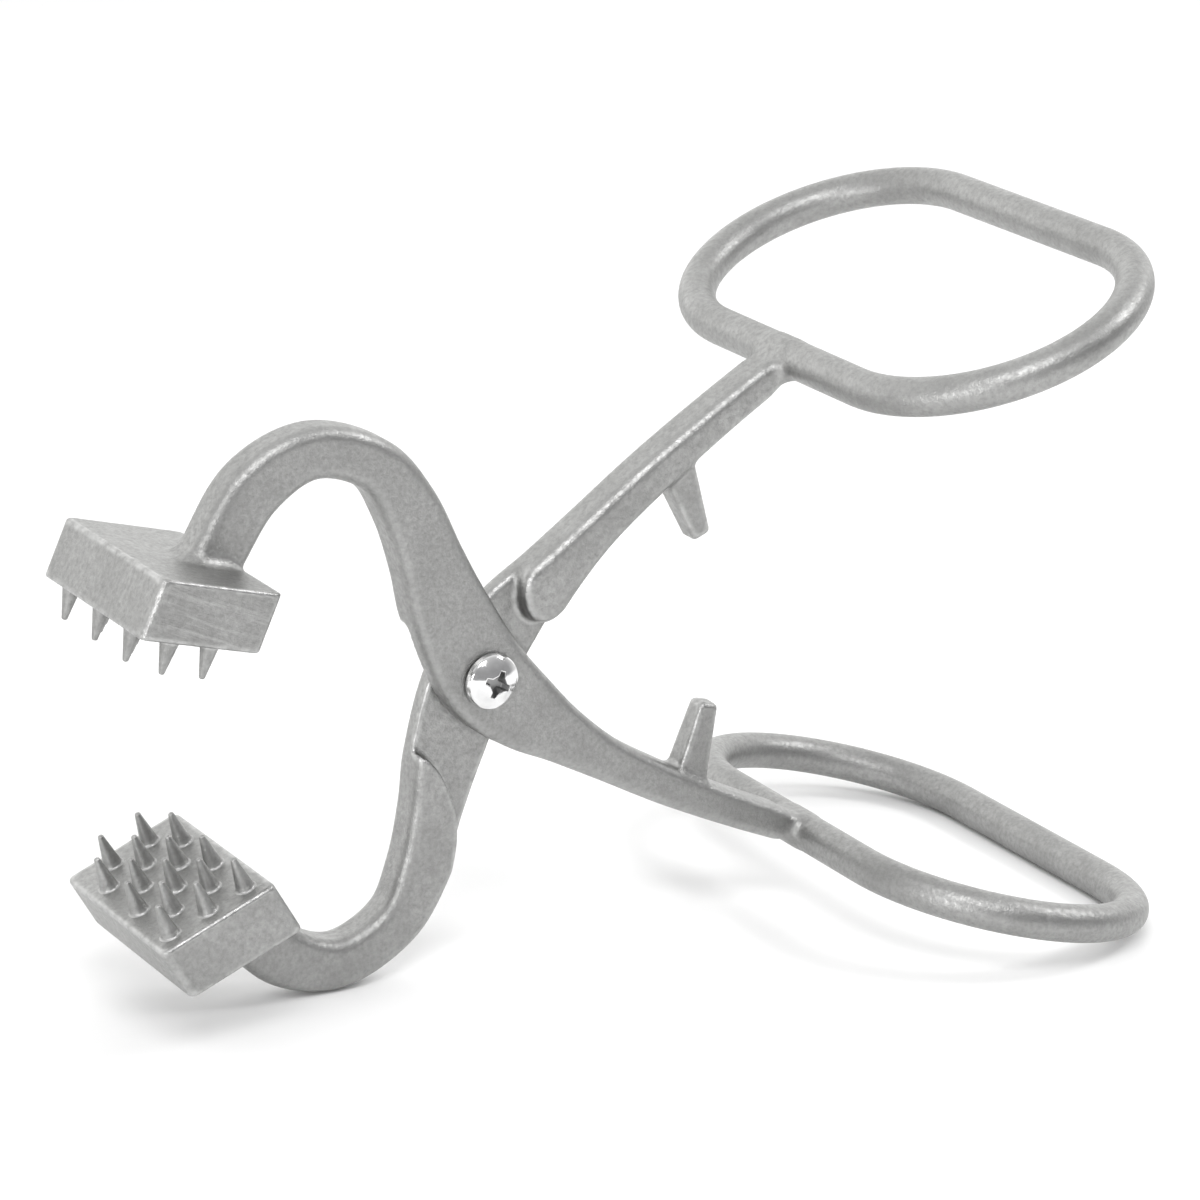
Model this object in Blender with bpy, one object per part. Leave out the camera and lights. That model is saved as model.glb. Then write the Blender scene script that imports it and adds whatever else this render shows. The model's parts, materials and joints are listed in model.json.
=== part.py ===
"""Nutcracker with two identical cast levers that cross on one screw.

One lever runs from a spiked jaw block, over an arched neck, through a half-thick
plate at the pivot, and along a handle to a closed grip loop. The other lever is the
same casting turned over. Sizes are in millimetres in the lever's own frame: the jaws
are closed, the pivot is at the origin, +X points to the grips, +Z up and -Y to the
side of the screw's head. The finished tool stands open on its lower grip and neck.
"""
import math

import bmesh
import bpy
from mathutils import Matrix, Vector

MM = 0.001

# Jaw block and its spikes
JAW_REACH = 86.3          # pivot to the middle of the block
JAW_LENGTH = 29.8
JAW_WIDTH = 50.0
JAW_THICKNESS = 13.9
JAW_EDGE = 0.9            # rounding of the block's edges
JAW_FACE_GAP = 8.8        # between the two spiked faces when the jaws are closed
SPIKE_TIP_CLEARANCE = 0.6  # from a spike's tip to the other jaw's face when closed
SPIKE_BASE_DIA = 4.2
SPIKE_TIP_DIA = 1.4
SPIKE_FOOT_DIA = 5.4      # small spreading foot where a spike leaves the face
SPIKE_FOOT_HEIGHT = 0.7
SPIKE_COLUMNS = 6         # across the jaw, holding two and three spikes in turn
SPIKE_MARGIN = 5.5        # from the jaw's side to the first column
SPIKE_SIDES = 10

# Arm: neck, pivot plate and handle
ARM_THICKNESS = 10.5
PLATE_THICKNESS = 6.0     # what is left of the arm where the levers cross
LAP_GAP = 0.3             # between the two plates
ARM_EDGE = 2.0            # rounding of the arm's long edges
NECK_ROOT_WIDTH = 11.1
NECK_ARCH = (             # along x, up z, width; counted from the neck's root
    (7.0, 17.5, 11.8),
    (18.8, 28.2, 11.3),
    (36.0, 27.3, 11.4),
    (47.4, 18.4, 12.9),
)
PLATE_STATIONS = (        # x, z, width about the pivot
    (-20.9, 24.2, 16.3),
    (-13.9, 14.6, 19.4),
    (0.0, 0.0, 22.0),
    (12.6, -6.8, 18.6),
    (23.8, -11.2, 14.0),
)
HANDLE_REACH = 100.4      # pivot to the near bar of the grip loop
HANDLE_DROP = 28.8
HANDLE_BEND = (51.0, -21.9)
HANDLE_WIDTHS = (10.4, 9.3, 8.4, 7.8)
ARM_STEPS = 4             # sections between two stations
SEARCH_STEPS = 30

# Half-lap: the shoulders where the full thickness starts again
NECK_SHOULDER = (         # x, z from outside the neck's outer edge to its inner edge
    (-27.0, 48.0),
    (-23.7, 38.6),
    (-21.2, 33.6),
    (-19.2, 28.2),
    (-18.4, 21.5),
    (-18.8, 15.5),
    (-20.1, 11.3),
    (-22.2, 8.4),
    (-26.0, 6.6),
)
HANDLE_SHOULDER = (       # x, z from below the handle to above it
    (23.5, -26.0),
    (18.6, -17.4),
    (16.8, -14.2),
    (15.7, -10.8),
    (15.5, -8.0),
    (16.4, -5.4),
    (18.5, -3.7),
    (22.0, -2.9),
    (30.0, -1.6),
)
SHOULDER_STEPS = 3
LAP_OUTSIDE = 36.0        # how far the pocket runs past the plate's edges

# Stop lug on the inner side of the handle
LUG_REACH = 63.8
LUG_GAP = 0.3             # between the two lugs when the jaws are closed
LUG_TIP = (5.0, 5.5)      # along x, across y
LUG_BASE = (9.4, 7.4)

# Grip loop: a round bar bent into a stirrup that lies across the handle
GRIP_BAR_DIA = 9.1
GRIP_LENGTH = 72.3        # between the near and far bars' centres
GRIP_WIDTH = 130.2        # between the side bars' centres
GRIP_END_STEPS = 22
GRIP_TILT = 1.8           # degrees above the x axis
BAR_SIDES = 12

# Pivot hardware
SHANK_DIA = 6.0
HOLE_CLEARANCE = 0.1      # radial, between the shank and what turns on it
SHANK_CHAMFER = 0.5
HEAD_OVERHANG = 3.8       # of the head past the shank, all round
HEAD_HEIGHT = 4.2
HEAD_WALL = 1.4           # upright part of the head's side
HEAD_CHAMFER = 0.3
DOME_TURNS = (20, 40, 60, 78)
DOME_FULLNESS = 0.6       # 1 is an ellipse, less is flatter on top
SEAT_GAP = 0.3            # under the head and under the nut
RECESS_SHARE = 0.52       # span of the cross recess in the head's diameter
RECESS_WING = 1.7
RECESS_MOUTH = 0.6        # depth over which the recess keeps its full span
RECESS_FLOOR = 1.5        # metal left between the recess and the head's seat
RECESS_TURN = 28          # degrees that the cross is turned
INSERT_WALL = 0.7
INSERT_HEIGHT = 1.5
INSERT_GAP = 0.2
CROWN_WALL = 0.6          # round crown that holds the nylon insert
CROWN_HEIGHT = 1.8
CROWN_CHAMFER = 0.5
NUT_LEDGE = 0.4           # from the crown out to the middle of a flat
NUT_HEIGHT = 4.6
SHANK_BEYOND_NUT = 1.0
ROUND_SIDES = 40

REST_OPENING = 37.4       # degrees between the levers as the tool stands
RESTING_STEPS = 12


def clear_scene():
    for obj in list(bpy.data.objects):
        bpy.data.objects.remove(obj, do_unlink=True)


def material(name, colour, roughness, metallic):
    mat = bpy.data.materials.new(name)
    mat.use_nodes = True
    shader = mat.node_tree.nodes["Principled BSDF"]
    shader.inputs["Base Color"].default_value = (*colour, 1.0)
    shader.inputs["Roughness"].default_value = roughness
    shader.inputs["Metallic"].default_value = metallic
    return mat


def mesh_object(name, verts, faces):
    """Object from points in millimetres, with its faces turned outwards."""
    mesh = bpy.data.meshes.new(name)
    mesh.from_pydata([Vector(v) * MM for v in verts], [], faces)
    bm = bmesh.new()
    bm.from_mesh(mesh)
    bmesh.ops.recalc_face_normals(bm, faces=bm.faces)
    bm.to_mesh(mesh)
    bm.free()
    obj = bpy.data.objects.new(name, mesh)
    bpy.context.scene.collection.objects.link(obj)
    return obj


def skin(rings, closed=False):
    """Points and quads of a skin over equal rings, with end caps unless it closes on itself."""
    count = len(rings[0])
    verts = [point for ring in rings for point in ring]
    faces = []
    spans = len(rings) if closed else len(rings) - 1
    for row in range(spans):
        this, after = row * count, ((row + 1) % len(rings)) * count
        for i in range(count):
            j = (i + 1) % count
            faces.append((this + i, this + j, after + j, after + i))
    if not closed:
        faces.append(tuple(range(count)))
        faces.append(tuple((len(rings) - 1) * count + i for i in range(count)))
    return verts, faces


def boolean(obj, other, operation):
    """Joins or cuts obj with another object, which is then removed."""
    modifier = obj.modifiers.new(operation.title(), 'BOOLEAN')
    modifier.operation = operation
    modifier.object = other
    modifier.solver = 'EXACT'
    bpy.context.view_layer.update()
    result = bpy.data.meshes.new_from_object(obj.evaluated_get(bpy.context.evaluated_depsgraph_get()))
    obj.modifiers.clear()
    obj.data = result
    bpy.data.objects.remove(other, do_unlink=True)


def smooth_through(stations, steps):
    """Centripetal Catmull-Rom curve through stations of equal length tuples."""
    points = [Vector(s) for s in stations]
    points = [2 * points[0] - points[1]] + points + [2 * points[-1] - points[-2]]
    curve = []
    for i in range(1, len(points) - 2):
        p0, p1, p2, p3 = points[i - 1:i + 3]
        t0 = 0.0
        t1 = t0 + math.sqrt((p1 - p0).length)
        t2 = t1 + math.sqrt((p2 - p1).length)
        t3 = t2 + math.sqrt((p3 - p2).length)
        for step in range(steps):
            t = t1 + (t2 - t1) * step / steps
            a1 = p0.lerp(p1, (t - t0) / (t1 - t0))
            a2 = p1.lerp(p2, (t - t1) / (t2 - t1))
            a3 = p2.lerp(p3, (t - t2) / (t3 - t2))
            b1 = a1.lerp(a2, (t - t0) / (t2 - t0))
            b2 = a2.lerp(a3, (t - t1) / (t3 - t1))
            curve.append(b1.lerp(b2, (t - t1) / (t2 - t1)))
    curve.append(points[-2])
    return curve


def jaw_back():
    """Height of the block's back face, where the neck stands."""
    return JAW_FACE_GAP / 2 + JAW_THICKNESS


def neck_root():
    """Middle of the neck's foot: its inner side is flush with the block's end."""
    return -JAW_REACH + JAW_LENGTH / 2 - NECK_ROOT_WIDTH / 2, jaw_back()


def handle_point(share):
    """Point on the handle's bend, from the last plate station (0) to the grip (1)."""
    start = PLATE_STATIONS[-1]
    end = (HANDLE_REACH, -HANDLE_DROP)
    near, middle, far = (1 - share) ** 2, 2 * share * (1 - share), share ** 2
    return tuple(near * start[k] + middle * HANDLE_BEND[k] + far * end[k] for k in range(2))


def handle_height(x):
    """Height of the handle's centre line at this distance from the pivot."""
    low, high = 0.0, 1.0
    for _ in range(SEARCH_STEPS):
        share = (low + high) / 2
        if handle_point(share)[0] < x:
            low = share
        else:
            high = share
    return handle_point(low)[1]


def arm_stations():
    """Stations of the arm's centre line: x, z and width, from the block to the grip."""
    root_x, root_z = neck_root()
    stations = [(root_x, root_z - JAW_THICKNESS / 2, NECK_ROOT_WIDTH)]
    stations.append((root_x, root_z, NECK_ROOT_WIDTH))
    stations += [(root_x + dx, root_z + dz, width) for dx, dz, width in NECK_ARCH]
    stations += PLATE_STATIONS
    for i, width in enumerate(HANDLE_WIDTHS, start=1):
        stations.append((*handle_point(i / len(HANDLE_WIDTHS)), width))
    return stations


def arm_section(half_width, front, back):
    """Rounded rectangle as (offset in the lever's plane, y) pairs."""
    corner = []
    for angle in (0, 45, 90):
        turn = math.radians(angle)
        corner.append((ARM_EDGE * (1 - math.cos(turn)), ARM_EDGE * (1 - math.sin(turn))))
    points = [(half_width - a, back - b) for a, b in corner]
    points += [(-half_width + a, back - b) for a, b in reversed(corner)]
    points += [(-half_width + a, front + b) for a, b in corner]
    points += [(half_width - a, front + b) for a, b in reversed(corner)]
    return points


def make_arm():
    """The whole arm at full thickness, swept along its centre line."""
    curve = smooth_through(arm_stations(), ARM_STEPS)
    front, back = -PLATE_THICKNESS, ARM_THICKNESS - PLATE_THICKNESS
    rings = []
    for i, (x, z, width) in enumerate(curve):
        before, after = curve[max(i - 1, 0)], curve[min(i + 1, len(curve) - 1)]
        along = Vector((after.x - before.x, after.y - before.y)).normalized()
        across = Vector((-along.y, along.x))
        section = arm_section(width / 2, front, back)
        rings.append([(x + across.x * s, y, z + across.y * s) for s, y in section])
    return mesh_object("arm", *skin(rings))


def make_block():
    """Jaw block with rounded edges, its spiked face down."""
    bm = bmesh.new()
    bmesh.ops.create_cube(bm, size=1.0)
    bmesh.ops.scale(bm, vec=Vector((JAW_LENGTH, JAW_WIDTH, JAW_THICKNESS)) * MM, verts=bm.verts)
    bmesh.ops.translate(bm, vec=Vector((-JAW_REACH, 0, jaw_back() - JAW_THICKNESS / 2)) * MM,
                        verts=bm.verts)
    bmesh.ops.bevel(bm, geom=bm.edges[:], offset=JAW_EDGE * MM, segments=2, profile=0.5,
                    affect='EDGES', clamp_overlap=True)
    mesh = bpy.data.meshes.new("block")
    bm.to_mesh(mesh)
    bm.free()
    obj = bpy.data.objects.new("block", mesh)
    bpy.context.scene.collection.objects.link(obj)
    return obj


def spike_places():
    """Spike centres on the face: two and three to a column, so that closed jaws interleave."""
    places = []
    for column in range(SPIKE_COLUMNS):
        count = 2 + column % 2
        pitch = (JAW_WIDTH - 2 * SPIKE_MARGIN) / (SPIKE_COLUMNS - 1)
        y = (column - (SPIKE_COLUMNS - 1) / 2) * pitch
        for i in range(count):
            along = (i + 1) / 3 if count == 2 else (2 * i + 1) / 6
            places.append((-JAW_REACH + (along - 0.5) * JAW_LENGTH, y))
    return places


def make_spikes():
    """All spikes as one set of tapered pins that start inside the block."""
    face = JAW_FACE_GAP / 2
    profile = (
        (SPIKE_FOOT_DIA - SPIKE_BASE_DIA / 2, face + SPIKE_FOOT_HEIGHT),
        (SPIKE_BASE_DIA / 2, face - SPIKE_FOOT_HEIGHT),
        (SPIKE_TIP_DIA / 2, SPIKE_TIP_CLEARANCE - face),
    )
    verts, faces = [], []
    for x, y in spike_places():
        rings = []
        for radius, z in profile:
            turns = [2 * math.pi * i / SPIKE_SIDES for i in range(SPIKE_SIDES)]
            rings.append([(x + radius * math.cos(a), y + radius * math.sin(a), z) for a in turns])
        spike_verts, spike_faces = skin(rings)
        faces += [tuple(len(verts) + i for i in face_ids) for face_ids in spike_faces]
        verts += spike_verts
    return mesh_object("spikes", verts, faces)


def arc(centre, radius, start, end, steps):
    """Points on an arc, from one angle to another, without the last."""
    turns = [start + (end - start) * i / steps for i in range(steps)]
    return [(centre[0] + radius * math.cos(a), centre[1] + radius * math.sin(a)) for a in turns]


def grip_outline():
    """Closed centre line of the grip bar, as (along, y): two flats joined by round ends."""
    end_radius, half_flat = GRIP_LENGTH / 2, (GRIP_WIDTH - GRIP_LENGTH) / 2
    right = arc((end_radius, half_flat), end_radius, math.pi, 0.0, GRIP_END_STEPS)
    left = arc((end_radius, -half_flat), end_radius, 0.0, -math.pi, GRIP_END_STEPS)
    return right + [(GRIP_LENGTH, half_flat)] + left + [(0.0, -half_flat)]


def make_grip():
    """Round bar swept round the grip outline, in the loop's own tilted plane."""
    outline = grip_outline()
    tilt = math.radians(GRIP_TILT)
    place = Matrix.Translation((HANDLE_REACH, 0, -HANDLE_DROP)) @ Matrix.Rotation(-tilt, 4, 'Y')
    rings = []
    for i, (x, y) in enumerate(outline):
        before, after = outline[i - 1], outline[(i + 1) % len(outline)]
        along = Vector((after[0] - before[0], after[1] - before[1], 0)).normalized()
        out = Vector((along.y, -along.x, 0))
        ring = []
        for k in range(BAR_SIDES):
            turn = 2 * math.pi * (k + 0.5) / BAR_SIDES
            reach = GRIP_BAR_DIA / 2 * math.cos(turn)
            lift = GRIP_BAR_DIA / 2 * math.sin(turn)
            ring.append(place @ (Vector((x, y, 0)) + out * reach + Vector((0, 0, lift))))
        rings.append(ring)
    return mesh_object("grip", *skin(rings, closed=True))


def make_lug():
    """Tapered stop lug that rises from the handle to the middle plane."""
    middle = ARM_THICKNESS / 2 - PLATE_THICKNESS
    rings = []
    for (long, wide), z in ((LUG_BASE, handle_height(LUG_REACH)), (LUG_TIP, -LUG_GAP / 2)):
        ring = []
        for sx, sy in ((1, 1), (-1, 1), (-1, -1), (1, -1)):
            ring.append((LUG_REACH + sx * long / 2, middle + sy * wide / 2, z))
        rings.append(ring)
    return mesh_object("lug", *skin(rings))


def make_pocket():
    """Cutter that halves the arm round the pivot, on the side away from the screw's head."""
    outline = [(p.x, p.y) for p in smooth_through(NECK_SHOULDER, SHOULDER_STEPS)]
    outline.append((-LAP_OUTSIDE, NECK_SHOULDER[-1][1]))
    outline.append((-LAP_OUTSIDE, -LAP_OUTSIDE))
    outline.append((HANDLE_SHOULDER[0][0], -LAP_OUTSIDE))
    outline += [(p.x, p.y) for p in smooth_through(HANDLE_SHOULDER, SHOULDER_STEPS)]
    outline.append((HANDLE_SHOULDER[-1][0], NECK_SHOULDER[0][1]))
    lap, beyond = -LAP_GAP / 2, ARM_THICKNESS
    rings = [[(x, y, z) for x, z in outline] for y in (lap, beyond)]
    return mesh_object("pocket", *skin(rings))


def round_rings(profile, sides):
    """Rings about the pivot axis from (radius, y) pairs."""
    rings = []
    for radius, y in profile:
        turns = [2 * math.pi * i / sides for i in range(sides)]
        rings.append([(radius * math.cos(a), y, radius * math.sin(a)) for a in turns])
    return rings


def make_pivot_hole():
    radius = SHANK_DIA / 2 + HOLE_CLEARANCE
    profile = ((radius, -2 * ARM_THICKNESS), (radius, 2 * ARM_THICKNESS))
    return mesh_object("pivot_hole", *skin(round_rings(profile, ROUND_SIDES)))


def shade(obj, angle=40):
    obj.data.shade_smooth()
    obj.data.set_sharp_from_angle(angle=math.radians(angle))


def make_lever_mesh():
    """One casting: arm, block, spikes, grip and lug in one body, then the lap and the hole."""
    lever = make_arm()
    for piece in (make_block(), make_lug(), make_grip(), make_spikes()):
        boolean(lever, piece, 'UNION')
    for cutter in (make_pocket(), make_pivot_hole()):
        boolean(lever, cutter, 'DIFFERENCE')
    shade(lever)
    mesh = lever.data
    bpy.data.objects.remove(lever, do_unlink=True)
    return mesh


def make_levers(stance, finish):
    """The same casting twice: the rear one is turned over about X, and both open about Y."""
    mesh = make_lever_mesh()
    mesh.materials.clear()
    mesh.materials.append(finish)
    opening = math.radians(REST_OPENING / 2)
    levers = []
    for name, turned, swing in (("front_lever", 0.0, opening), ("rear_lever", math.pi, -opening)):
        lever = bpy.data.objects.new(name, mesh)
        bpy.context.scene.collection.objects.link(lever)
        lever.rotation_euler = (turned, swing, 0.0)
        lever.parent = stance
        levers.append(lever)
    return levers


def head_radius():
    return SHANK_DIA / 2 + HEAD_OVERHANG


def insert_radius():
    return SHANK_DIA / 2 + HOLE_CLEARANCE + INSERT_WALL


def crown_radius():
    return insert_radius() + INSERT_GAP + CROWN_WALL


def nut_base():
    return PLATE_THICKNESS + SEAT_GAP


def crown_top():
    return nut_base() + NUT_HEIGHT + CROWN_HEIGHT


def head_profile():
    """Pan head from its flat seat to the crown, as (radius, y)."""
    seat, radius = -nut_base(), head_radius()
    profile = [(radius - HEAD_CHAMFER, seat), (radius, seat - HEAD_CHAMFER), (radius, seat - HEAD_WALL)]
    for degrees in DOME_TURNS:
        turn = math.radians(degrees)
        lift = HEAD_WALL + (HEAD_HEIGHT - HEAD_WALL) * math.sin(turn)
        profile.append((radius * math.cos(turn) ** DOME_FULLNESS, seat - lift))
    return profile


def make_screw(stance, finish):
    """Pan-head screw: head outside the front plate, shank through both plates and the nut."""
    shank = SHANK_DIA / 2
    tail = crown_top() + SHANK_BEYOND_NUT
    profile = [(shank - SHANK_CHAMFER, tail), (shank, tail - SHANK_CHAMFER), (shank, -nut_base())]
    profile += head_profile()
    screw = mesh_object("pivot_screw", *skin(round_rings(profile, ROUND_SIDES)))
    for turn in (RECESS_TURN, RECESS_TURN + 90):
        wing = make_recess_wing()
        wing.rotation_euler = (0.0, math.radians(turn), 0.0)
        boolean(screw, wing, 'DIFFERENCE')
    finish_piece(screw, stance, finish)
    return screw


def make_recess_wing():
    """Tapered slot of the cross recess, deepest at the middle."""
    span, half = RECESS_SHARE * head_radius(), RECESS_WING / 2
    top = -nut_base() - HEAD_HEIGHT
    levels = (
        (span, half, top - HEAD_WALL),
        (span, half, top + RECESS_MOUTH),
        (half, half / 2, -nut_base() - RECESS_FLOOR),
    )
    rings = []
    for long, wide, y in levels:
        rings.append([(-long, y, -wide), (long, y, -wide), (long, y, wide), (-long, y, wide)])
    return mesh_object("recess_wing", *skin(rings))


def make_nut(stance, finish):
    """Hexagon lock nut with a round crown that is hollow for its insert."""
    base, shoulder, top = nut_base(), nut_base() + NUT_HEIGHT, crown_top()
    corner = (crown_radius() + NUT_LEDGE) / math.cos(math.pi / 6)
    nut = mesh_object("pivot_nut", *skin(round_rings(((corner, base), (corner, shoulder)), 6)))
    crown_profile = (
        (crown_radius(), base + NUT_HEIGHT / 2),
        (crown_radius(), top - CROWN_CHAMFER),
        (crown_radius() - CROWN_CHAMFER, top),
    )
    boolean(nut, mesh_object("crown", *skin(round_rings(crown_profile, ROUND_SIDES))), 'UNION')
    bore, pocket = SHANK_DIA / 2 + HOLE_CLEARANCE, insert_radius() + INSERT_GAP
    floor = top - INSERT_HEIGHT - INSERT_GAP
    bore_profile = ((bore, 0.0), (bore, floor), (pocket, floor), (pocket, top + NUT_HEIGHT))
    boolean(nut, mesh_object("nut_bore", *skin(round_rings(bore_profile, ROUND_SIDES))), 'DIFFERENCE')
    finish_piece(nut, stance, finish)
    return nut


def make_insert(stance, finish):
    """Nylon ring inside the nut's crown."""
    inner, outer, top = SHANK_DIA / 2 + HOLE_CLEARANCE, insert_radius(), crown_top()
    floor = top - INSERT_HEIGHT
    profile = ((outer, floor), (outer, top), (inner, top), (inner, floor))
    ring = mesh_object("nut_insert", *skin(round_rings(profile, ROUND_SIDES), closed=True))
    finish_piece(ring, stance, finish)
    return ring


def finish_piece(obj, stance, finish):
    obj.data.materials.clear()
    obj.data.materials.append(finish)
    shade(obj)
    obj.parent = stance


def resting_pitch(points):
    """Turn about Y that levels the lowest points on the two sides of the pivot."""
    pitch = 0.0
    for _ in range(RESTING_STEPS):
        turned = [Matrix.Rotation(pitch, 3, 'Y') @ p for p in points]
        left = min((p for p in turned if p.x < 0), key=lambda p: p.z)
        right = min((p for p in turned if p.x > 0), key=lambda p: p.z)
        pitch += math.atan2(right.z - left.z, right.x - left.x)
    return pitch


def set_down(stance, pieces, levers):
    """Pitches the open tool until it stands, and puts the origin under its middle."""
    bpy.context.view_layer.update()
    points = [lever.matrix_world @ v.co for lever in levers for v in lever.data.vertices]
    stance.rotation_euler = (0.0, resting_pitch(points), 0.0)
    bpy.context.view_layer.update()
    points = [piece.matrix_world @ v.co for piece in pieces for v in piece.data.vertices]
    low = Vector(min(p[k] for p in points) for k in range(3))
    high = Vector(max(p[k] for p in points) for k in range(3))
    stance.location = (-(low.x + high.x) / 2, -(low.y + high.y) / 2, -low.z)


def main():
    clear_scene()
    stance = bpy.data.objects.new("stance", None)
    bpy.context.scene.collection.objects.link(stance)
    levers = make_levers(stance, material("cast_metal", (0.60, 0.60, 0.59), 0.45, 1.0))
    chrome = material("screw_chrome", (0.80, 0.80, 0.80), 0.12, 1.0)
    zinc = material("nut_zinc", (0.70, 0.71, 0.72), 0.3, 1.0)
    nylon = material("insert_nylon", (0.85, 0.85, 0.80), 0.5, 0.0)
    hardware = [make_screw(stance, chrome), make_nut(stance, zinc), make_insert(stance, nylon)]
    set_down(stance, levers + hardware, levers)


main()
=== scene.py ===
"""Nutcracker: two identical cast levers on one screw, on a plain pale floor.

Each casting is a skin drawn on a distance field in the lever's own frame, in
millimetres: jaws closed, pivot at the origin, +X to the grips, +Z up, -Y to the
screw's head. The field gives every joint its own fillet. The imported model's mounts
and joint say where the two castings lie.
"""
import json
import math

import bpy
import numpy as np
from mathutils import Matrix, Vector


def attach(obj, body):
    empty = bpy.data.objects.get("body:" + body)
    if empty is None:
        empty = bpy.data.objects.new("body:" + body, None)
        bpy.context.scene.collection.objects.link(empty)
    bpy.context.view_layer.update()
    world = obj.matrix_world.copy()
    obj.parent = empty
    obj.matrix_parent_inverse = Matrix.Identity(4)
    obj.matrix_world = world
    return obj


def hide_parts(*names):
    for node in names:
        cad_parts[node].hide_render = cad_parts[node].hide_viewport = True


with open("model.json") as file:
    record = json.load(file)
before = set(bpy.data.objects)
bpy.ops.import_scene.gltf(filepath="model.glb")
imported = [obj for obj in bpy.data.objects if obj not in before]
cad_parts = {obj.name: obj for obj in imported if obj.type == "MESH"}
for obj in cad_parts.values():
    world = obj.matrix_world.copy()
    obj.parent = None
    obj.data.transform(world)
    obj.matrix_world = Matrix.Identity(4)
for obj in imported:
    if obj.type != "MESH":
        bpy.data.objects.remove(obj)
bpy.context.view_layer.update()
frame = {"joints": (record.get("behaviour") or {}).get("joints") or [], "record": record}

MM = 0.001

# Jaw block and its spikes
JAW_REACH = 86.3
JAW_LENGTH = 29.8
JAW_WIDTH = 50.0
JAW_THICKNESS = 13.9
JAW_EDGE = 0.75
JAW_UPRIGHT_EDGE = 1.9
JAW_FACE_GAP = 8.8
JAW_LEAN = 0.15             # lean of the block's ends to the pivot, for each mm from the spiked face
SPIKE_TIP_CLEARANCE = 0.6
SPIKE_BASE_DIA = 4.2
SPIKE_TIP_DIA = 1.4
SPIKE_FOOT_DIA = 5.4
SPIKE_FOOT_HEIGHT = 0.7
SPIKE_TIP_ROUND = 0.7       # height of the tip's dome as a share of its radius
SPIKE_COLUMNS = 6
SPIKE_MARGIN = 5.5
SPIKE_SIDES = 20
# bend marks of the spikes' feet and tips, from which the material paints highlights on both
FOOT_BEND, TIP_BEND = -0.5, 0.35

# Arm: neck, pivot plate and handle
ARM_THICKNESS = 10.5
PLATE_THICKNESS = 6.0
LAP_GAP = 0.3
ARM_EDGE = ((-45.0, 3.2), (-14.0, 2.8), (10.0, 2.8), (60.0, 2.5))
NECK_ROOT_WIDTH = 13.5
NECK_ARCH = ((6.3, 17.4, 13.9), (18.4, 27.4, 12.2), (35.0, 26.5, 12.2), (45.8, 17.9, 14.2))
PLATE_STATIONS = ((-20.9, 24.2, 16.3), (-13.9, 14.6, 19.4), (0.0, 0.0, 22.0),
                  (12.6, -6.8, 18.6), (23.8, -11.2, 14.0))
HANDLE_REACH = 100.4
HANDLE_DROP = 28.8
HANDLE_BEND = (51.0, -21.9)
HANDLE_WIDTHS = (10.4, 9.3, 8.4, 7.8)
ARM_STEPS = 10
ARCH_TOP = 54.0             # just over the neck's arch

# Half-lap shoulders
NECK_SHOULDER = ((-27.0, 48.0), (-23.7, 38.6), (-21.2, 33.6), (-19.2, 28.2), (-18.4, 21.5),
                 (-18.8, 15.5), (-20.1, 11.3), (-22.2, 8.4), (-26.0, 6.6))
HANDLE_SHOULDER = ((23.5, -26.0), (18.6, -17.4), (16.8, -14.2), (15.7, -10.8), (15.5, -8.0),
                   (16.4, -5.4), (18.5, -3.7), (22.0, -2.9), (30.0, -1.6))
SHOULDER_STEPS = 6
LAP_OUTSIDE = 36.0

# Stop lug
LUG_REACH = 63.8
LUG_GAP = 0.3
LUG_TIP = (5.0, 5.5)
LUG_BASE = (9.4, 7.4)

# Grip loop
GRIP_BAR_DIA = 9.1
GRIP_LENGTH = 72.3
GRIP_WIDTH = 130.2
GRIP_TILT = 1.8

# Pivot hardware
SHANK_DIA = 6.0
HOLE_CLEARANCE = 0.1
HEAD_DIA = 13.6
HEAD_HEIGHT = 4.2
HEAD_RIM = 1.4              # straight side under the head's dome
HEAD_EDGE = 0.7
SEAT_GAP = 0.3
RECESS_SPAN = 7.1
RECESS_DEPTH = 2.7
RECESS_TURN = 28
RECESS_WING = 1.15          # half width of the cross's arms, at its middle
RECESS_TAPER = 0.16         # narrowing of an arm for each mm outwards
RECESS_MIDDLE = 2.1         # half width of the square where the arms meet
RECESS_DRAFT = (0.5, 0.1, 0.4)    # closing in of arm ends, arm sides and middle for each mm down
NUT_ACROSS_FLATS = 10.0
NUT_HEIGHT = 4.6
CROWN_DIA = 9.2
CROWN_HEIGHT = 1.8
INSERT_DIA = 7.6
INSERT_HEIGHT = 1.5
INSERT_GAP = 0.2
SHANK_BEYOND_NUT = 1.0
SHANK_SPLIT = 3.0           # the head's piece ends here, inside the threaded one
THREAD_START = 2.0
THREAD_PITCH = 1.0
THREAD_DEPTH = 0.55
NUT_REACH = 5.9             # just past the hexagon's corners
HEAD_SEAT = -PLATE_THICKNESS - SEAT_GAP
HEAD_TOP = HEAD_SEAT - HEAD_HEIGHT
NUT_SEAT = PLATE_THICKNESS + SEAT_GAP
CROWN_TOP = NUT_SEAT + NUT_HEIGHT + CROWN_HEIGHT
SHANK_END = CROWN_TOP + SHANK_BEYOND_NUT
RING_START = 10.0           # just under the nylon ring
DIAGONAL = 0.7071

# Fillets where two forms of the casting meet
NECK_FILLET = 3.4
GRIP_FILLET = 3.0
LUG_FILLET = 1.5
LUG_EDGE = 1.3
LAP_FLOOR_FILLET = 1.2
LAP_TOP_EDGE = ((-5.0, 0.8), (8.0, 2.0))
BAR_BLEND_DROP = 1.1       # the fillet puts this much back where the handle runs into the bar

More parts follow.
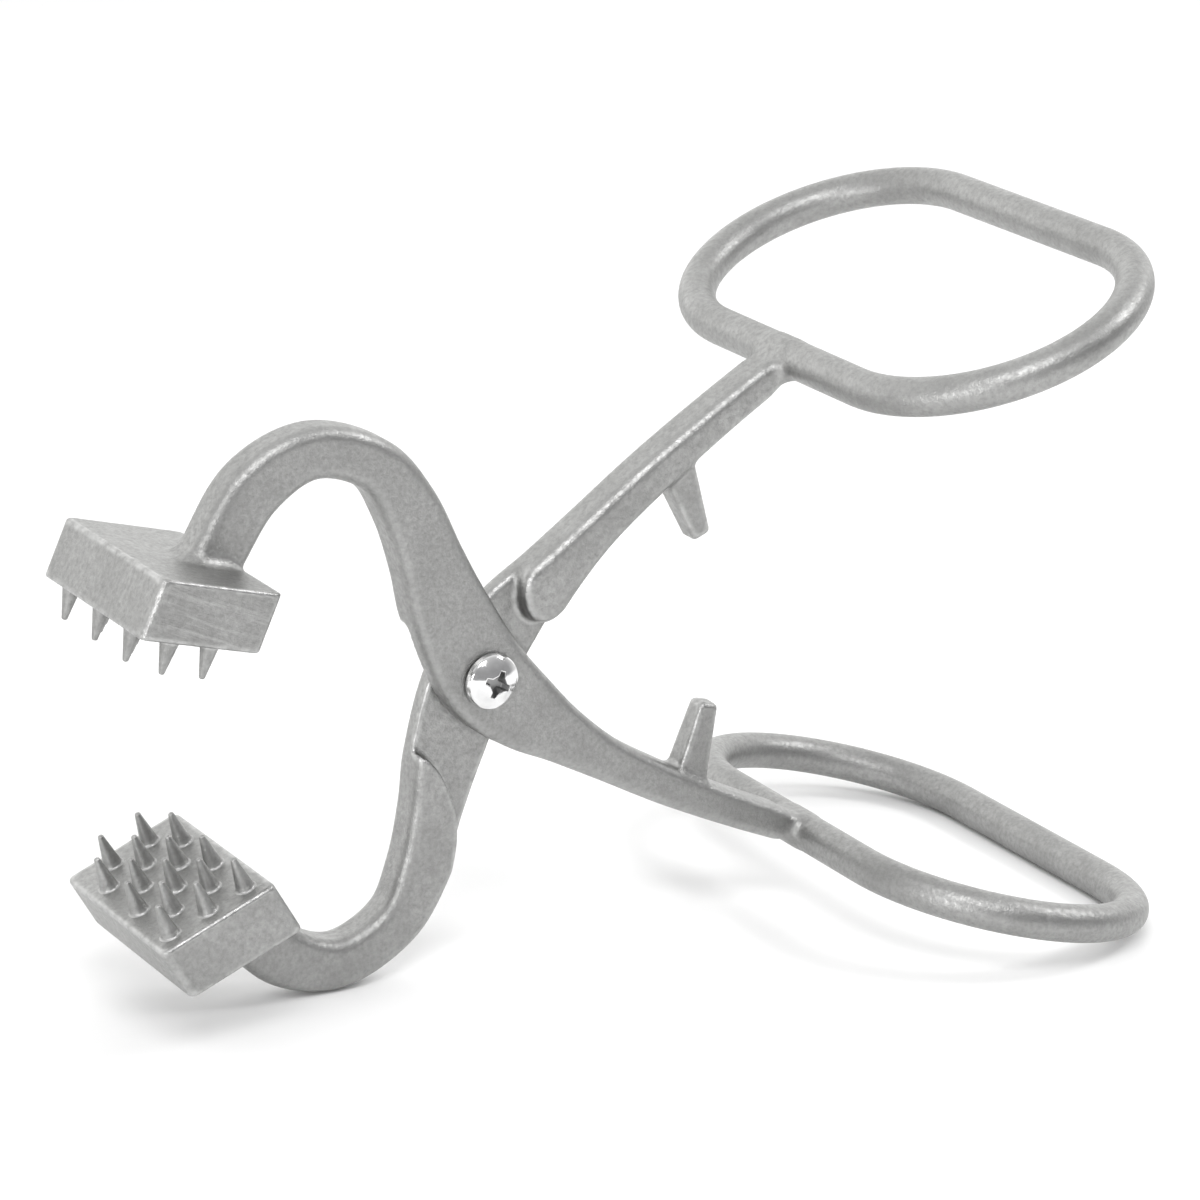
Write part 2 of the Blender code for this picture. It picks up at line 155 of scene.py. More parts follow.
# Cast aluminium
CAST_DARK, CAST_LIGHT = (0.325, 0.325, 0.32), (0.385, 0.385, 0.38)
CAST_GRAIN = (0.26, 0.26, 0.255)
# worn edges and grinding scratches; the same colour paints highlights on edges and in fillets
CAST_WORN_AND_HIGHLIGHT = (0.49, 0.49, 0.485)
# painted shade in corners that the casting covers
CAST_CORNER_SHADE = (0.16, 0.16, 0.157)
SCRATCH_SLOPE = 24          # degrees, down towards the pivot

# Spacing of the fields that the skins are drawn on
CASTING_STEP = 0.56
HARDWARE_STEP = 0.14
HEAD_STEP = 0.12

# Studio
FLOOR_HALF = 6.0            # metres
LIGHTS = (                  # name, place and size in metres, watts
    ("key", (-0.5, -0.9, 1.3), (0.8, 0.55), 10),
    ("right", (1.1, -0.45, 1.2), (0.45, 0.45), 7),
    ("left", (-1.5, -0.95, 0.35), (0.35, 0.5), 8))
LIGHT_TARGET = (0, 0, 0.07)
CAMERA_AZIMUTH, CAMERA_ELEVATION, CAMERA_ROLL = 30.17, 20.47, 1.96
CAMERA_PLACE = (31.0569, 17.1924, 1077.8645)    # right, up and back from the point it was set on
CAMERA_POINT = (-3.4, 0.0, 0.0)                 # that point, from the pivot
CAMERA_LENS = 141.6961


# ---------------------------------------------------------------- distance fields

def union(a, b, fillet):
    """Two solids in one, with a round fillet where they meet."""
    u, v = np.maximum(fillet - a, 0), np.maximum(fillet - b, 0)
    return np.maximum(fillet, np.minimum(a, b)) - np.sqrt(u * u + v * v)


def cut(a, b, edge):
    """First solid less the second, with its new edges rounded."""
    u, v = np.maximum(edge + a, 0), np.maximum(edge - b, 0)
    return np.minimum(-edge, np.maximum(a, -b)) + np.sqrt(u * u + v * v)


def rounded(parts, edge):
    """Solid inside every one of these distances, with rounded outer edges."""
    parts = [part + edge for part in parts]
    deepest = parts[0]
    for part in parts[1:]:
        deepest = np.maximum(deepest, part)
    outside = sum(np.maximum(part, 0) ** 2 for part in parts)
    return np.sqrt(outside) + np.minimum(deepest, 0) - edge


def between(y, low, high):
    return np.abs(y - (low + high) / 2) - (high - low) / 2


def polygon(outline, x, z):
    """Signed distance to a closed outline in the lever's plane."""
    near = np.full(np.broadcast(x, z).shape, 1e9)
    odd = np.zeros(near.shape, bool)
    for (ax, az), (bx, bz) in zip(outline, outline[1:] + outline[:1]):
        ex, ez = bx - ax, bz - az
        share = np.clip(((x - ax) * ex + (z - az) * ez) / (ex * ex + ez * ez), 0, 1)
        near = np.minimum(near, (x - ax - share * ex) ** 2 + (z - az - share * ez) ** 2)
        if ez:
            odd ^= ((z >= az) != (z >= bz)) & (x < ax + (z - az) * ex / ez)
    return np.where(odd, -1, 1) * np.sqrt(near)


def smooth_through(stations, steps):
    """Centripetal Catmull-Rom curve through stations of equal length tuples."""
    points = [Vector(s) for s in stations]
    points = [2 * points[0] - points[1]] + points + [2 * points[-1] - points[-2]]
    curve = []
    for i in range(1, len(points) - 2):
        p0, p1, p2, p3 = points[i - 1:i + 3]
        t0 = 0.0
        t1 = t0 + math.sqrt((p1 - p0).length)
        t2 = t1 + math.sqrt((p2 - p1).length)
        t3 = t2 + math.sqrt((p3 - p2).length)
        for step in range(steps):
            t = t1 + (t2 - t1) * step / steps
            a1 = p0.lerp(p1, (t - t0) / (t1 - t0))
            a2 = p1.lerp(p2, (t - t1) / (t2 - t1))
            a3 = p2.lerp(p3, (t - t2) / (t3 - t2))
            b1 = a1.lerp(a2, (t - t0) / (t2 - t0))
            b2 = a2.lerp(a3, (t - t1) / (t3 - t1))
            curve.append(b1.lerp(b2, (t - t1) / (t2 - t1)))
    curve.append(points[-2])
    return curve


def handle_point(share):
    start, end = PLATE_STATIONS[-1], (HANDLE_REACH, -HANDLE_DROP)
    near, middle, far = (1 - share) ** 2, 2 * share * (1 - share), share ** 2
    return tuple(near * start[k] + middle * HANDLE_BEND[k] + far * end[k] for k in range(2))


def handle_height(x):
    low, high = 0.0, 1.0
    for _ in range(30):
        share = (low + high) / 2
        low, high = (share, high) if handle_point(share)[0] < x else (low, share)
    return handle_point(low)[1]


def arm_stations():
    root_x = -JAW_REACH + JAW_LENGTH / 2 + JAW_LEAN * JAW_THICKNESS - NECK_ROOT_WIDTH / 2
    root_z = JAW_FACE_GAP / 2 + JAW_THICKNESS
    stations = [(root_x, root_z - 0.5, NECK_ROOT_WIDTH)]
    stations += [(root_x + dx, root_z + dz, width) for dx, dz, width in NECK_ARCH]
    stations += PLATE_STATIONS
    for i, width in enumerate(HANDLE_WIDTHS, start=1):
        stations.append((*handle_point(i / len(HANDLE_WIDTHS)), width))
    return stations


def arm_plan(x, z):
    """Distance in the lever's plane to the arm's outline."""
    curve = smooth_through(arm_stations(), ARM_STEPS)
    near = np.full(np.broadcast(x, z).shape, 1e9)
    for a, b in zip(curve, curve[1:]):
        ex, ez = b.x - a.x, b.y - a.y
        share = np.clip(((x - a.x) * ex + (z - a.y) * ez) / (ex * ex + ez * ez), 0, 1)
        reach = np.sqrt((x - a.x - share * ex) ** 2 + (z - a.y - share * ez) ** 2)
        near = np.minimum(near, reach - (a.z + (b.z - a.z) * share) / 2)
    return near


def pocket_outline():
    outline = [(p.x, p.y) for p in smooth_through(NECK_SHOULDER, SHOULDER_STEPS)]
    outline.append((-LAP_OUTSIDE, NECK_SHOULDER[-1][1]))
    outline.append((-LAP_OUTSIDE, -LAP_OUTSIDE))
    outline.append((HANDLE_SHOULDER[0][0], -LAP_OUTSIDE))
    outline += [(p.x, p.y) for p in smooth_through(HANDLE_SHOULDER, SHOULDER_STEPS)]
    outline.append((HANDLE_SHOULDER[-1][0], NECK_SHOULDER[0][1]))
    return outline


def casting_field(x, y, z):
    """Distance to the whole casting, without its spikes."""
    front, back = -PLATE_THICKNESS, ARM_THICKNESS - PLATE_THICKNESS
    plan = arm_plan(x, z) + BAR_BLEND_DROP * np.clip((x - HANDLE_REACH + 9) / 6, 0, 1)
    arm_edge = np.interp(x, *zip(*ARM_EDGE))
    solid = rounded([plan, between(y, front, back)], arm_edge)
    face = JAW_FACE_GAP / 2
    lean = JAW_LEAN * (z - face)
    block = rounded([between(x - lean, -JAW_REACH - JAW_LENGTH / 2, -JAW_REACH + JAW_LENGTH / 2),
                     between(y, -JAW_WIDTH / 2, JAW_WIDTH / 2)], JAW_UPRIGHT_EDGE)
    block = rounded([block, between(z, face, face + JAW_THICKNESS)], JAW_EDGE)
    flush = JAW_LENGTH / 2 - JAW_REACH + JAW_LEAN * JAW_THICKNESS - x
    solid = union(solid, block, NECK_FILLET * np.clip(0.35 + flush / 7, 0.35, 1))
    foot = handle_height(LUG_REACH)
    rise = np.clip((z - foot) / (-LUG_GAP / 2 - foot), 0, 1)
    middle = ARM_THICKNESS / 2 - PLATE_THICKNESS
    lug = rounded([np.abs(x - LUG_REACH) - (LUG_BASE[0] + (LUG_TIP[0] - LUG_BASE[0]) * rise) / 2,
                   np.abs(y - middle) - (LUG_BASE[1] + (LUG_TIP[1] - LUG_BASE[1]) * rise) / 2,
                   between(z, foot, -LUG_GAP / 2)], LUG_EDGE)
    solid = union(solid, lug, LUG_FILLET)
    pocket = rounded([polygon(pocket_outline(), x, z), -LAP_GAP / 2 - y], LAP_FLOOR_FILLET)
    solid = cut(solid, pocket, np.interp(x, *zip(*LAP_TOP_EDGE)))
    hole = np.sqrt(x * x + z * z) - SHANK_DIA / 2 - HOLE_CLEARANCE
    solid = np.maximum(solid, -hole)
    tilt = math.radians(GRIP_TILT)
    out, up = x - HANDLE_REACH, z + HANDLE_DROP
    along = out * math.cos(tilt) + up * math.sin(tilt)
    lift = up * math.cos(tilt) - out * math.sin(tilt)
    radius, flat = GRIP_LENGTH / 2, (GRIP_WIDTH - GRIP_LENGTH) / 2
    bend = np.sqrt((along - radius) ** 2 + np.maximum(np.abs(y) - flat, 0) ** 2)
    grip = np.sqrt((bend - radius) ** 2 + lift ** 2) - GRIP_BAR_DIA / 2
    return union(solid, grip, GRIP_FILLET)


# ---------------------------------------------------------------- skins

CORNERS = [(i, j, k) for i in (0, 1) for j in (0, 1) for k in (0, 1)]


def sample(field, low, high, step):
    """The field on a regular grid, one slice after another."""
    axes = [np.arange(low[k] - 2 * step, high[k] + 3 * step, step) for k in range(3)]
    slices = []
    for start in range(0, len(axes[0]), 24):
        x = axes[0][start:start + 24, None, None]
        slices.append(field(x, axes[1][None, :, None], axes[2][None, None, :]).astype(np.float32))
    return np.concatenate(slices), axes


def skin(field, low, high, step):
    """Points and quads of the surface where the field is zero (surface nets)."""
    values, axes = sample(field, low, high, step)
    inside = values < 0
    shape = [n - 1 for n in values.shape]
    count = np.zeros(shape, np.int8)
    for i, j, k in CORNERS:
        count += inside[i:i + shape[0], j:j + shape[1], k:k + shape[2]]
    cells = np.argwhere((count > 0) & (count < 8))
    number = np.full(shape, -1, np.int32)
    number[tuple(cells.T)] = np.arange(len(cells))
    at = {c: values[cells[:, 0] + c[0], cells[:, 1] + c[1], cells[:, 2] + c[2]] for c in CORNERS}
    total, crossings = np.zeros((len(cells), 3)), np.zeros(len(cells))
    for a in CORNERS:
        for axis in range(3):
            if a[axis]:
                continue
            b = tuple(1 if k == axis else a[k] for k in range(3))
            crosses = (at[a] < 0) != (at[b] < 0)
            share = np.where(crosses, at[a] / np.where(crosses, at[a] - at[b], 1), 0)
            for k in range(3):
                total[:, k] += crosses * (share if k == axis else a[k])
            crossings += crosses
    points = (cells + total / crossings[:, None]) * step + np.array([axis[0] for axis in axes])
    quads = []
    for axis in range(3):
        other = [k for k in range(3) if k != axis]
        first = inside[tuple(slice(0, -1) if k == axis else slice(1, -1) for k in range(3))]
        second = inside[tuple(slice(1, None) if k == axis else slice(1, -1) for k in range(3))]
        for starts in (True, False):
            edges = np.argwhere((first != second) & (first == starts))
            edges[:, other] += 1
            ring = []
            for du, dv in ((-1, -1), (0, -1), (0, 0), (-1, 0)):
                cell = edges.copy()
                cell[:, other[0]] += du
                cell[:, other[1]] += dv
                ring.append(number[tuple(cell.T)])
            if starts == (axis == 1):
                ring.reverse()
            quads.append(np.stack(ring, 1))
    return settle(field, points, step), np.concatenate(quads)


def slope(field, points, reach):
    """Field and its gradient at these points."""
    gradient = []
    for k in range(3):
        ahead, behind = points.copy(), points.copy()
        ahead[:, k] += reach
        behind[:, k] -= reach
        gradient.append((field(*ahead.T) - field(*behind.T)) / (2 * reach))
    return field(*points.T), np.stack(gradient, 1)


def settle(field, points, step):
    """Moves the points onto the surface itself."""
    for _ in range(2):
        value, gradient = slope(field, points, step / 8)
        length = np.maximum((gradient ** 2).sum(1), 0.25)
        move = np.clip(value / length, -step / 2, step / 2)
        points = points - gradient * move[:, None]
    return points


def bend_of(field, points, reach):
    """How sharply the surface bends: positive on outer edges, negative in corners."""
    total = -6 * field(*points.T)
    for k in range(3):
        for way in (reach, -reach):
            beside = points.copy()
            beside[:, k] += way
            total = total + field(*beside.T)
    return total / reach ** 2


def cover_of(field, points, reach):
    """How much of the space over each point is taken up by the casting itself, 0 to 1."""
    _, normal = slope(field, points, 0.1)
    total = np.zeros(len(points))
    for share in (0.5, 1.0):
        total += 1 - field(*(points + normal * reach * share).T) / (reach * share)
    return np.clip(total / 2, 0, 1)


def softened(marks, quads, rounds):
    """Mark evened out over neighbouring faces."""
    total = np.bincount(quads.ravel(), minlength=len(marks))
    for _ in range(rounds):
        shares = np.repeat(marks[quads].mean(1), quads.shape[1])
        marks = np.bincount(quads.ravel(), weights=shares, minlength=len(marks)) / np.maximum(total, 1)
    return marks


def mesh_piece(name, points, faces, place, **marks):
    """Object at the origin from points in millimetres, put in place; marks are point attributes."""
    mesh = bpy.data.meshes.new(name)
    mesh.vertices.add(len(points))
    mesh.vertices.foreach_set("co", (np.asarray(points, np.float32) * MM).ravel())
    mesh.transform(place)
    loops = np.concatenate([np.asarray(face, np.int32) for face in faces])
    sizes = np.array([len(face) for face in faces], np.int32)
    starts = np.concatenate([[0], np.cumsum(sizes)[:-1]])
    mesh.loops.add(len(loops))
    mesh.loops.foreach_set("vertex_index", loops)
    mesh.polygons.add(len(sizes))
    mesh.polygons.foreach_set("loop_start", starts.astype(np.int32))
    mesh.polygons.foreach_set("loop_total", sizes)
    mesh.update(calc_edges=True)
    mesh.validate()
    for mark, values in marks.items():
        layer = mesh.attributes.new(mark, 'FLOAT', 'POINT')
        layer.data.foreach_set("value", np.asarray(values, np.float32))
    mesh.shade_smooth()
    obj = bpy.data.objects.new(name, mesh)
    bpy.context.scene.collection.objects.link(obj)
    return obj


def spike_places():
    places = []
    for column in range(SPIKE_COLUMNS):
        count = 2 + column % 2
        y = (column / (SPIKE_COLUMNS - 1) - 0.5) * (JAW_WIDTH - 2 * SPIKE_MARGIN)
        for i in range(count):
            along = (i + 1) / 3 if count == 2 else (2 * i + 1) / 6
            places.append((-JAW_REACH + (along - 0.5) * JAW_LENGTH, y))
    return places


def spike_profile():
    """Foot fillet, slim cone and rounded tip, as (radius, z, bend)."""
    face, base, tip = JAW_FACE_GAP / 2, SPIKE_BASE_DIA / 2, SPIKE_TIP_DIA / 2
    foot, end = SPIKE_FOOT_DIA / 2, SPIKE_TIP_CLEARANCE - face
    tip_height = tip * SPIKE_TIP_ROUND
    profile = [(foot + 0.5, face + 0.3, FOOT_BEND), (foot, face + 0.02, FOOT_BEND)]
    for i in range(1, 5):
        turn = math.pi / 2 * i / 4
        z = face - SPIKE_FOOT_HEIGHT * (1 - math.cos(turn))
        profile.append((foot - (foot - base) * math.sin(turn), z, FOOT_BEND))
    start, stop = face - SPIKE_FOOT_HEIGHT, end + tip_height
    for i in range(1, 6):
        share = i / 6
        profile.append((base + (tip - base) * share, start + (stop - start) * share, 0.1 + 0.2 * share))
    for i in range(0, 5):
        turn = math.pi / 2 * i / 5
        profile.append((tip * math.cos(turn), end + tip_height * (1 - math.sin(turn)), TIP_BEND))
    return profile


def spikes(first):
    """Points, faces and bend of all spikes; vertex numbers start at first."""
    points, faces, bends = [], [], []
    sides, profile = SPIKE_SIDES, spike_profile()
    for x, y in spike_places():
        base = first + len(points)
        for radius, z, bend in profile:
            for i in range(sides):
                turn = 2 * math.pi * i / sides
                points.append((x + radius * math.cos(turn), y + radius * math.sin(turn), z))
                bends.append(bend)
        for row in range(len(profile) - 1):
            for i in range(sides):
                j = (i + 1) % sides
                a, b = base + row * sides, base + (row + 1) * sides
                faces.append((a + j, a + i, b + i, b + j))
        last = base + (len(profile) - 1) * sides
        faces.append(tuple(last + i for i in reversed(range(sides))))
    return points, faces, bends


def draw_casting():
    """Points, faces and marks of one casting with its spikes."""
    bar = GRIP_BAR_DIA / 2
    low = (-JAW_REACH - JAW_LENGTH / 2, -GRIP_WIDTH / 2 - bar, -HANDLE_DROP - bar - 1)
    high = (HANDLE_REACH + GRIP_LENGTH + bar, GRIP_WIDTH / 2 + bar, ARCH_TOP)
    points, quads = skin(casting_field, low, high, CASTING_STEP)
    bend = softened(bend_of(casting_field, points, 0.7), quads, 3)
    cover = softened(cover_of(casting_field, points, 4.0), quads, 2)
    extra_points, extra_faces, extra_bend = spikes(len(points))
    points = np.concatenate([points, np.array(extra_points)])
    bend = np.concatenate([bend, np.array(extra_bend)])
    cover = np.concatenate([cover, np.zeros(len(extra_points))])
    ground = np.clip((-points[:, 1] - JAW_WIDTH / 2 + 0.5) / 0.3, 0, 1) * (points[:, 0] < 0)
    return points, [*quads, *extra_faces], {"bend": bend, "ground": ground, "cover": cover}


# ---------------------------------------------------------------- node helpers

def new_material(name):
    mat = bpy.data.materials.new(name)
    mat.use_nodes = True
    return mat, mat.node_tree, mat.node_tree.nodes["Principled BSDF"]


def noise(tree, where, scale, detail, rough):
    node = tree.nodes.new("ShaderNodeTexNoise")
    node.inputs["Scale"].default_value = scale
    node.inputs["Detail"].default_value = detail
    node.inputs["Roughness"].default_value = rough
    tree.links.new(where, node.inputs["Vector"])
    return node.outputs["Fac"]


def ranged(tree, value, low, high, to_low, to_high, smooth=False):
    node = tree.nodes.new("ShaderNodeMapRange")
    if smooth:
        node.interpolation_type = 'SMOOTHSTEP'
    limits = {"From Min": low, "From Max": high, "To Min": to_low, "To Max": to_high}
    for name, number in limits.items():
        node.inputs[name].default_value = number
    tree.links.new(value, node.inputs["Value"])
    return node.outputs["Result"]


def maths(tree, operation, a, b):
    node = tree.nodes.new("ShaderNodeMath")
    node.operation = operation
    for socket, value in zip(node.inputs, (a, b)):
        if isinstance(value, (int, float)):
            socket.default_value = value
        else:
            tree.links.new(value, socket)
    return node.outputs["Value"]


def mixed(tree, share, a, b):
    node = tree.nodes.new("ShaderNodeMix")
    node.data_type = 'RGBA'
    tree.links.new(share, node.inputs["Factor"])
    for name, value in (("A", a), ("B", b)):
        socket = next(s for s in node.inputs if s.name == name and s.type == 'RGBA')
        if isinstance(value, tuple):
            socket.default_value = (*value, 1.0)
        else:
            tree.links.new(value, socket)
    return next(s for s in node.outputs if s.type == 'RGBA')


def bump(tree, height, distance, under=None):
    node = tree.nodes.new("ShaderNodeBump")
    node.inputs["Distance"].default_value = distance
    tree.links.new(height, node.inputs["Height"])
    if under is not None:
        tree.links.new(under, node.inputs["Normal"])
    return node.outputs["Normal"]


def attribute(tree, name):
    node = tree.nodes.new("ShaderNodeAttribute")
    node.attribute_name = name
    return node.outputs["Fac"]


def cast_aluminium(name, shift, tone):
    """Satin casting blasted with fine beads: mottled grey grain, worn edges smoother and lighter with a
    painted highlight on them, a painted highlight in hollow fillets, painted shade in covered corners.
    """
    mat, tree, shader = new_material(name)
    toned = [tuple(c * tone for c in colour) for colour in (CAST_DARK, CAST_LIGHT, CAST_GRAIN)]
    dark, light, grainy = toned
    place = tree.nodes.new("ShaderNodeTexCoord").outputs["Object"]
    move = tree.nodes.new("ShaderNodeMapping")
    move.inputs["Location"].default_value = shift
    tree.links.new(place, move.inputs["Vector"])
    where = move.outputs["Vector"]
    bend, ground = attribute(tree, "bend"), attribute(tree, "ground")
    lie = tree.nodes.new("ShaderNodeMapping")
    lie.vector_type = 'TEXTURE'
    lie.inputs["Rotation"].default_value = (0.0, math.radians(SCRATCH_SLOPE), 0.0)
    lie.inputs["Scale"].default_value = (14.0, 1.0, 1.0)
    tree.links.new(place, lie.inputs["Vector"])
    patches = noise(tree, where, 75.0, 3.0, 0.55)
    grain = noise(tree, where, 850.0, 3.0, 0.65)
    fine = noise(tree, where, 2400.0, 2.0, 0.6)
    strokes = maths(tree, 'MULTIPLY', noise(tree, lie.outputs["Vector"], 900.0, 4.0, 0.6), ground)
    # worn convex edges: smoother, and lighter as a painted highlight
    worn_and_highlight = maths(tree, 'MULTIPLY', ranged(tree, bend, 0.16, 0.75, 0.0, 0.9, True),
                   ranged(tree, noise(tree, where, 420.0, 3.0, 0.6), 0.36, 0.6, 0.2, 1.0))
    # painted highlight in concave fillets and the spikes' feet
    painted_fillet_highlight = maths(tree, 'MULTIPLY', ranged(tree, bend, -0.12, -0.4, 0.0, 0.75, True),
                 ranged(tree, noise(tree, where, 420.0, 3.0, 0.6), 0.36, 0.6, 0.4, 1.0))
    # painted shade where the casting covers the space over the surface
    painted_corner_shade = ranged(tree, attribute(tree, "cover"), 0.12, 0.8, 0.0, 0.6, True)
    colour = mixed(tree, ranged(tree, patches, 0.35, 0.65, 0.0, 1.0), dark, light)
    colour = mixed(tree, ranged(tree, grain, 0.3, 0.7, 0.0, 0.65), colour, grainy)
    colour = mixed(tree, worn_and_highlight, colour, CAST_WORN_AND_HIGHLIGHT)
    colour = mixed(tree, painted_corner_shade, colour, CAST_CORNER_SHADE)
    colour = mixed(tree, painted_fillet_highlight, colour, CAST_WORN_AND_HIGHLIGHT)
    colour = mixed(tree, ranged(tree, strokes, 0.5, 0.68, 0.0, 0.5), colour, CAST_WORN_AND_HIGHLIGHT)
    tree.links.new(colour, shader.inputs["Base Color"])
    shader.inputs["Metallic"].default_value = 1.0
    rough = ranged(tree, grain, 0.3, 0.7, 0.36, 0.54)
    rough = maths(tree, 'SUBTRACT', rough, maths(tree, 'MULTIPLY', worn_and_highlight, 0.10))
    tree.links.new(rough, shader.inputs["Roughness"])
    normal = bump(tree, patches, 0.00025)
    normal = bump(tree, grain, 0.00014, normal)
    normal = bump(tree, fine, 0.00007, normal)
    normal = bump(tree, strokes, 0.00015, normal)
    tree.links.new(normal, shader.inputs["Normal"])
    return mat


def plated(name, colour, rough, ripple):
    """Bright plated steel with a faint uneven polish; its recess is rougher and painted darker as
    painted shade.
    """
    mat, tree, shader = new_material(name)
    where = tree.nodes.new("ShaderNodeTexCoord").outputs["Object"]
    soft = noise(tree, where, 260.0, 2.0, 0.5)
    fine = noise(tree, where, 1800.0, 3.0, 0.6)
    recess = attribute(tree, "recess")
    tint = tuple(c * 0.86 for c in colour)
    shade = mixed(tree, ranged(tree, soft, 0.35, 0.65, 0.0, 1.0), colour, tint)
    # painted shade: the recess is painted darker
    tree.links.new(mixed(tree, recess, shade, (0.34, 0.34, 0.34)), shader.inputs["Base Color"])
    polish = ranged(tree, fine, 0.3, 0.75, rough, rough * 2.0)
    polish = maths(tree, 'ADD', polish, maths(tree, 'MULTIPLY', recess, 0.3))
    tree.links.new(polish, shader.inputs["Roughness"])
    shader.inputs["Metallic"].default_value = 1.0
    tree.links.new(bump(tree, soft, ripple), shader.inputs["Normal"])
    return mat


def nylon(name):
    mat, tree, shader = new_material(name)
    where = tree.nodes.new("ShaderNodeTexCoord").outputs["Object"]
    soft = noise(tree, where, 700.0, 3.0, 0.6)
    colour = mixed(tree, soft, (0.80, 0.79, 0.72), (0.88, 0.87, 0.81))
    tree.links.new(colour, shader.inputs["Base Color"])
    tree.links.new(ranged(tree, soft, 0.3, 0.7, 0.42, 0.55), shader.inputs["Roughness"])
    shader.inputs["Subsurface Weight"].default_value = 0.15
    shader.inputs["Subsurface Scale"].default_value = 0.001
    tree.links.new(bump(tree, soft, 0.00002), shader.inputs["Normal"])
    return mat


# ---------------------------------------------------------------- places

pivot = Vector(frame["joints"][0]["pos_m"])


def lever_place(mount, turned):
    """Lever's own frame in the row frame, from the direction of its block's back."""
    up = Vector(next(m for m in frame["record"]["mounts"] if m["name"] == mount)["axis"])
    swing = math.atan2(up.x, up.z) if not turned else math.atan2(-up.x, -up.z)
    turn = Matrix.Rotation(swing, 4, 'Y')
    if turned:
        turn = turn @ Matrix.Rotation(math.pi, 4, 'X')
    return Matrix.Translation(pivot) @ turn


front_place = lever_place("upper_jaw_back", False)
rear_place = lever_place("lower_jaw_back", True)

points, faces, marks = draw_casting()
for half, place, shift, tone in (("front", front_place, (0.0, 0.0, 0.0), 1.0),
                                 ("rear", rear_place, (0.31, 0.17, 0.23), 1.05)):
    casting = mesh_piece(f"{half}_casting", points, faces, place, **marks)
    casting.data.materials.append(cast_aluminium(f"{half}_cast_aluminium", shift, tone))
    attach(casting, f"{half}_half")
    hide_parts(f"{half}_lever")


# ---------------------------------------------------------------- pivot hardware

def recess_field(x, y, z):
    """Star-shaped cross recess of the screw's head."""
    turn = math.radians(RECESS_TURN)
    u, v = x * math.cos(turn) - z * math.sin(turn), x * math.sin(turn) + z * math.cos(turn)
    depth = y - HEAD_TOP
    ends, sides, middle_draft = RECESS_DRAFT
    reach = RECESS_SPAN / 2 - depth * ends
    wing = RECESS_WING - depth * sides
    along_u, along_v = wing - RECESS_TAPER * np.abs(u), wing - RECESS_TAPER * np.abs(v)
    cross = np.minimum(np.maximum(np.abs(u) - reach, np.abs(v) - along_u),
                       np.maximum(np.abs(v) - reach, np.abs(u) - along_v))
    square = (np.abs(u) + np.abs(v)) * DIAGONAL - RECESS_MIDDLE + depth * middle_draft
    return np.maximum(np.minimum(cross, square), depth - RECESS_DEPTH)


def head_field(x, y, z):
    """Pan head with a cross recess and the front of its shank."""
    radius, rise = HEAD_DIA / 2, HEAD_HEIGHT - HEAD_RIM
    away = np.sqrt(x * x + z * z)
    dome_radius = (radius ** 2 + rise ** 2) / (2 * rise)
    dome = np.sqrt(away ** 2 + (y - HEAD_SEAT + HEAD_HEIGHT - dome_radius) ** 2) - dome_radius
    head = rounded([away - radius, y - HEAD_SEAT, dome], HEAD_EDGE)
    head = cut(head, recess_field(x, y, z), 0.2)
    shank = rounded([away - SHANK_DIA / 2, between(y, HEAD_SEAT - 1.0, SHANK_SPLIT)], 0.2)
    return np.minimum(head, shank)


def thread_field(x, y, z):
    """Shank with a rolled thread behind the nut."""
    away = np.sqrt(x * x + z * z)
    turn = np.arctan2(z, x) / (2 * math.pi)
    rise = np.abs(((y / THREAD_PITCH - turn) % 1.0) - 0.5) * 2
    threaded = np.clip(y - THREAD_START, 0, 1)
    groove = THREAD_DEPTH * np.clip(rise * 1.25 - 0.12, 0, 1) * threaded
    return rounded([(away - SHANK_DIA / 2 + groove) * 0.8, between(y, 0.0, SHANK_END)], 0.15)


def nut_field(x, y, z):
    """Hexagon with chamfered corners, its round crown and the bore."""
    away = np.sqrt(x * x + z * z)
    flats = np.abs(x)
    for degrees in (60, 120):
        turn = math.radians(degrees)
        flats = np.maximum(flats, np.abs(x * math.cos(turn) + z * math.sin(turn)))
    flats = flats - NUT_ACROSS_FLATS / 2
    top = NUT_SEAT + NUT_HEIGHT
    corner = NUT_ACROSS_FLATS / 2 / math.cos(math.pi / 6)
    low_chamfer = (away - corner) * 0.5 + (NUT_SEAT + 0.2 - y) * 0.866
    high_chamfer = (away - corner) * 0.5 + (y - top + 0.2) * 0.866
    body = rounded([flats, between(y, NUT_SEAT, top), low_chamfer, high_chamfer], 0.15)
    crown = rounded([away - CROWN_DIA / 2, between(y, NUT_SEAT + 1, CROWN_TOP)], 0.55)
    bore = away - SHANK_DIA / 2 - HOLE_CLEARANCE
    pocket_floor = CROWN_TOP - INSERT_HEIGHT - INSERT_GAP
    pocket = np.maximum(away - INSERT_DIA / 2 - INSERT_GAP, pocket_floor - y)
    return cut(cut(union(body, crown, 0.35), bore, 0.2), pocket, 0.15)


def ring_field(x, y, z):
    """Nylon ring in the nut's crown."""
    away = np.sqrt(x * x + z * z)
    wall = between(away, SHANK_DIA / 2 + HOLE_CLEARANCE, INSERT_DIA / 2)
    return rounded([wall, between(y, CROWN_TOP - INSERT_HEIGHT, CROWN_TOP)], 0.12)


def hardware(name, field, radius, low, high, finish, node, step=HARDWARE_STEP):
    """One piece of the pivot from its field, standing for a CAD node."""
    points, quads = skin(field, (-radius, low, -radius), (radius, high, radius), step)
    recess = np.clip(0.12 - recess_field(*points.T), 0, 0.1) / 0.1 * (points[:, 1] < 0)
    piece = mesh_piece(name, points, quads, hardware_place, recess=recess)
    piece.data.materials.append(finish)
    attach(piece, "front_half")
    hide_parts(node)


